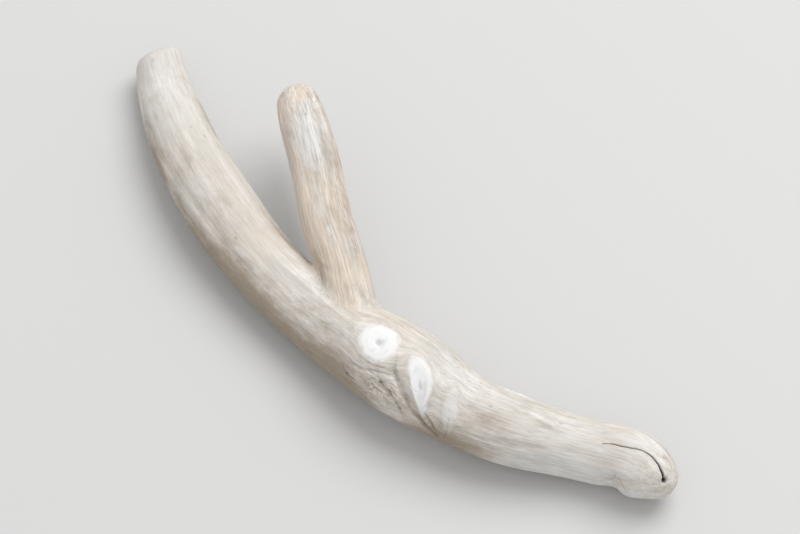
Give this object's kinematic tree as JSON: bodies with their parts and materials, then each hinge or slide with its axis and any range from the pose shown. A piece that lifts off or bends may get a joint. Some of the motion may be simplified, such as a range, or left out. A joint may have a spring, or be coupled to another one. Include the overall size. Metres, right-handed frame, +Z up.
{
  "type": "piece of driftwood",
  "caption": "A forked, bent stick of bleached driftwood, worn smooth, with pale knots, a healed crease, a split end and a short side branch.",
  "frame": {"origin": "Centre of the bounding box in plan, on the surface that the piece lies on.", "axes": "+X runs along the stem from the slanted end to the split end, +Z is up, and the side branch leans to +Y."},
  "size_m": [0.155, 0.0438, 0.0235],
  "materials": {
    "bleached_wood": "matte"
  },
  "bodies": {
    "root": {"driftwood": "bleached_wood"}
  },
  "joints": []
}
